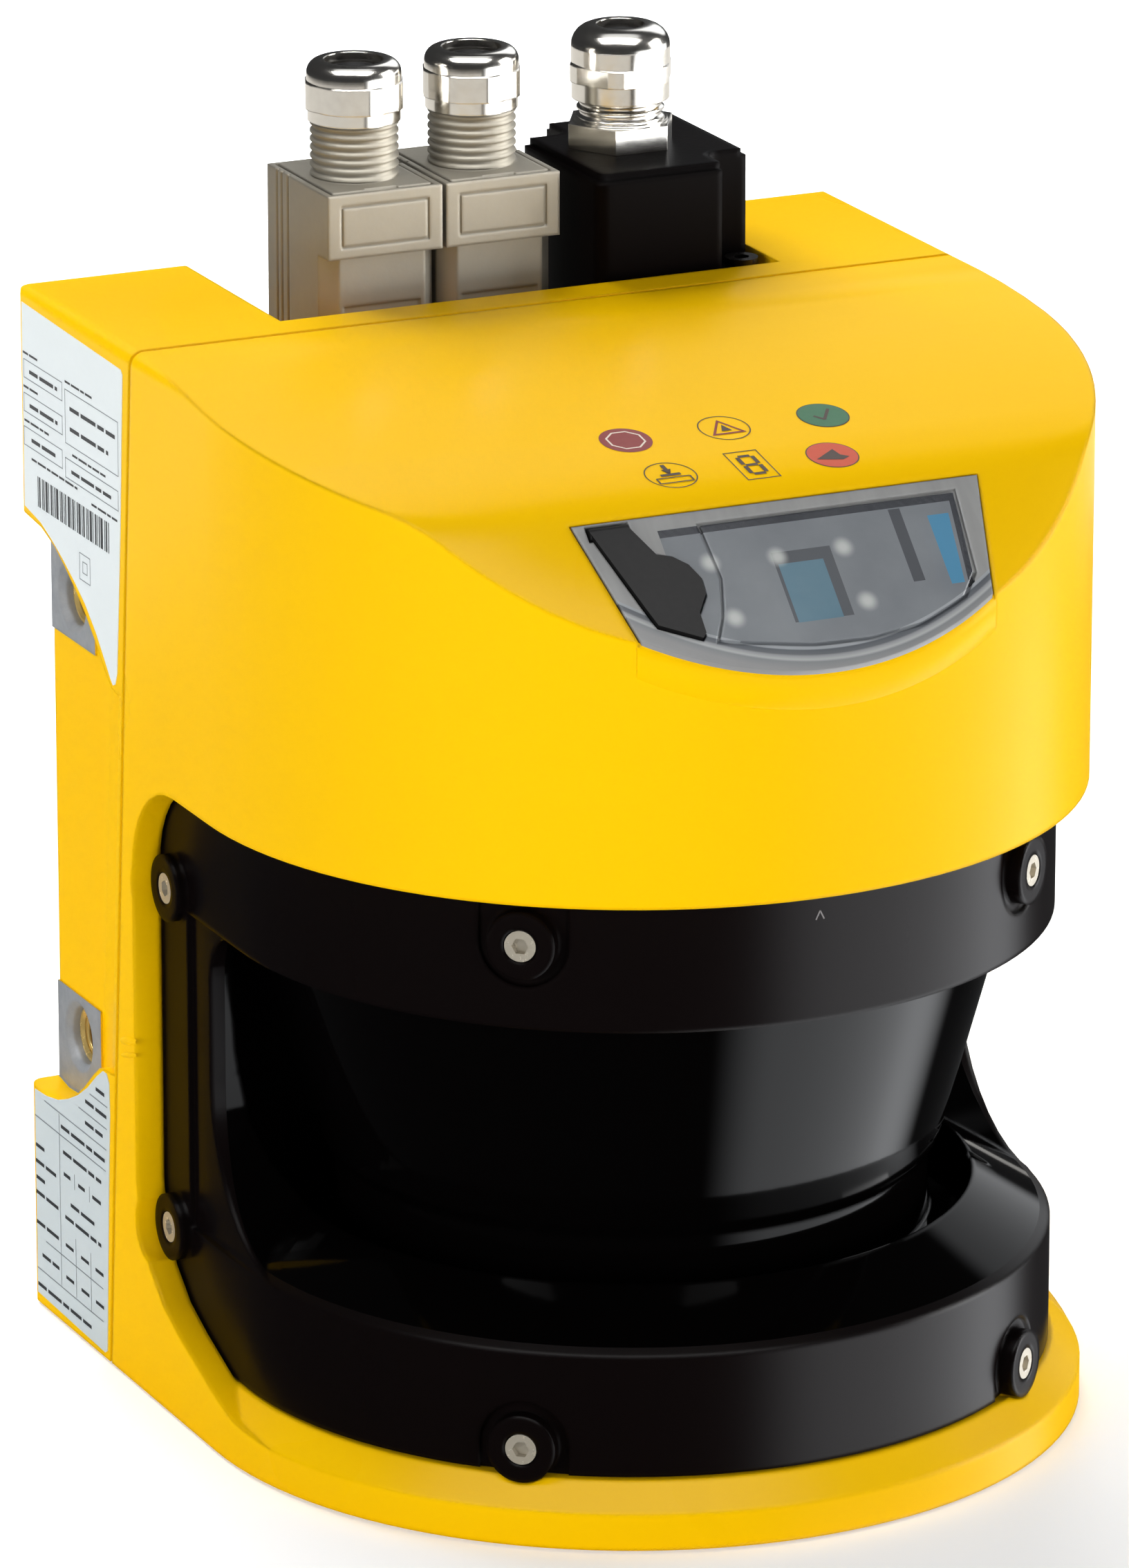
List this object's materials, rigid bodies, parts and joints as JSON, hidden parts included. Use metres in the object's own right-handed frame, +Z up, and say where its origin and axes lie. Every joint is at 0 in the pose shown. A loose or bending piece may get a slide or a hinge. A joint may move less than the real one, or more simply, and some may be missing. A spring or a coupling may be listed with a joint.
{
  "type": "safety laser scanner",
  "caption": "Safety laser scanner: yellow cast housing with round head and base, black optics cover, sloping display window and three cable glands at the back.",
  "frame": {"origin": "centre of the overall box on the surface it stands on", "axes": "+Z up, the display and the scan window face -Y, +X to the right seen from the front"},
  "size_m": [0.155, 0.16, 0.2242],
  "materials": {
    "yellow_casting": "glossy powder coat on die-cast aluminium",
    "rubber_black": "matt",
    "steel": "plain",
    "gloss_black": "gloss moulding, passes infrared",
    "window_clear": "clear moulding, lightly smoked",
    "display_grey": "satin",
    "board_green": "solder mask",
    "lamp_white": "diffusing",
    "lamp_blue": "diffusing",
    "black_plastic": "fine satin",
    "grey_cast": "as cast",
    "copper": "wound wire",
    "mirror": "coated",
    "lens_glass": "polished",
    "insert_steel": "yellow passivated",
    "nickel": "nickel plate",
    "champagne_nickel": "satin nickel plate on zinc casting"
  },
  "bodies": {
    "housing": {"sensor_head_housing": "yellow_casting", "rear_housing": "yellow_casting", "housing_gasket": "rubber_black", "optics_cover_seals": "rubber_black", "window_seal": "rubber_black", "system_gland_seal": "rubber_black", "left_gland_seal": "rubber_black", "middle_gland_seal": "rubber_black", "housing_screws": "steel", "optics_cover_screws": "steel", "motor_bearings": "steel", "board_screws": "steel", "system_plug_screws": "steel", "laser_module": "steel", "optics_cover": "gloss_black", "display_window": "window_clear", "display_bezel": "display_grey", "display_board": "board_green", "receiver_board": "board_green", "main_board": "board_green", "io_board": "board_green", "status_lamps": "lamp_white", "seven_segment_display": "lamp_white", "light_bar": "lamp_blue", "config_socket": "black_plastic", "encoder_sensor": "black_plastic", "system_socket": "black_plastic", "left_socket": "black_plastic", "middle_socket": "black_plastic", "left_insert": "black_plastic", "middle_insert": "black_plastic", "system_plug_hood": "black_plastic", "system_plug_insert": "black_plastic", "motor_housing": "grey_cast", "optics_bracket": "grey_cast", "motor_stator": "copper", "receiver_lens": "lens_glass", "system_gland_body": "nickel", "system_gland_nut": "nickel", "left_gland_nut": "nickel", "middle_gland_nut": "nickel", "thread_inserts": "insert_steel", "left_hood": "champagne_nickel", "left_lid": "champagne_nickel", "middle_hood": "champagne_nickel", "middle_lid": "champagne_nickel"},
    "rotor": {"rotor_shaft": "steel", "mirror_carrier": "black_plastic", "scan_mirror": "mirror", "encoder_disc": "steel"},
    "cap": {"config_cap": "rubber_black"}
  },
  "joints": [
    {"name": "mirror_spin", "type": "hinge", "parent": "housing", "child": "rotor", "pos_m": [0, -0.0025, 0.063], "axis": [0, 0, 1], "continuous": true},
    {"name": "cap_flap", "type": "hinge", "parent": "housing", "child": "cap", "pos_m": [-0.0307, -0.0582, 0.17087], "axis": [-1, 0, 0], "range_deg": [0, 110]}
  ]
}
